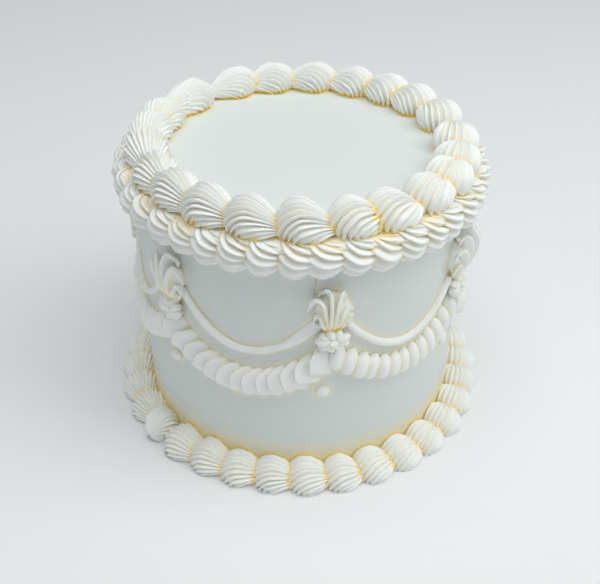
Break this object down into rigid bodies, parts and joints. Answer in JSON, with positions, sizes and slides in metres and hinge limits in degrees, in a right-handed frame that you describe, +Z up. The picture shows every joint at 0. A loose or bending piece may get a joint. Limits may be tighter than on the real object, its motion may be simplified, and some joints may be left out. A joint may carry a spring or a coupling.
{
  "type": "lambeth cake",
  "caption": "Tall round cake with smooth pale icing, piped shell borders on its top edge, rim and foot, and swags of string and ruffle piping hung between shells and rosettes round its side.",
  "frame": {"origin": "centre of the cake's flat underside, on the surface it stands on", "axes": "+Z up, -Y towards the front, where one swag joint stands ten degrees to the right of the middle, +X to the right"},
  "size_m": [0.2029, 0.2027, 0.1587],
  "materials": {
    "smooth_icing": "smooth scraped pale icing, satin",
    "piped_icing": "piped pale icing with fine ridges, satin, warmer in its grooves"
  },
  "bodies": {
    "root": {"cake_body": "smooth_icing", "top_border": "piped_icing", "rim_border": "piped_icing", "base_border": "piped_icing", "side_shell_1": "piped_icing", "side_shell_2": "piped_icing", "side_shell_3": "piped_icing", "side_shell_4": "piped_icing", "side_shell_5": "piped_icing", "side_shell_6": "piped_icing", "side_shell_7": "piped_icing", "rosette_1": "piped_icing", "rosette_2": "piped_icing", "rosette_3": "piped_icing", "rosette_4": "piped_icing", "rosette_5": "piped_icing", "rosette_6": "piped_icing", "rosette_7": "piped_icing", "dot_1": "piped_icing", "dot_2": "piped_icing", "dot_3": "piped_icing", "dot_4": "piped_icing", "dot_5": "piped_icing", "dot_6": "piped_icing", "dot_7": "piped_icing", "string_swag_1": "piped_icing", "string_swag_2": "piped_icing", "string_swag_3": "piped_icing", "string_swag_4": "piped_icing", "string_swag_5": "piped_icing", "string_swag_6": "piped_icing", "string_swag_7": "piped_icing", "ruffle_swag_1": "piped_icing", "ruffle_swag_2": "piped_icing", "ruffle_swag_3": "piped_icing", "ruffle_swag_4": "piped_icing", "ruffle_swag_5": "piped_icing", "ruffle_swag_6": "piped_icing", "ruffle_swag_7": "piped_icing"}
  },
  "joints": []
}
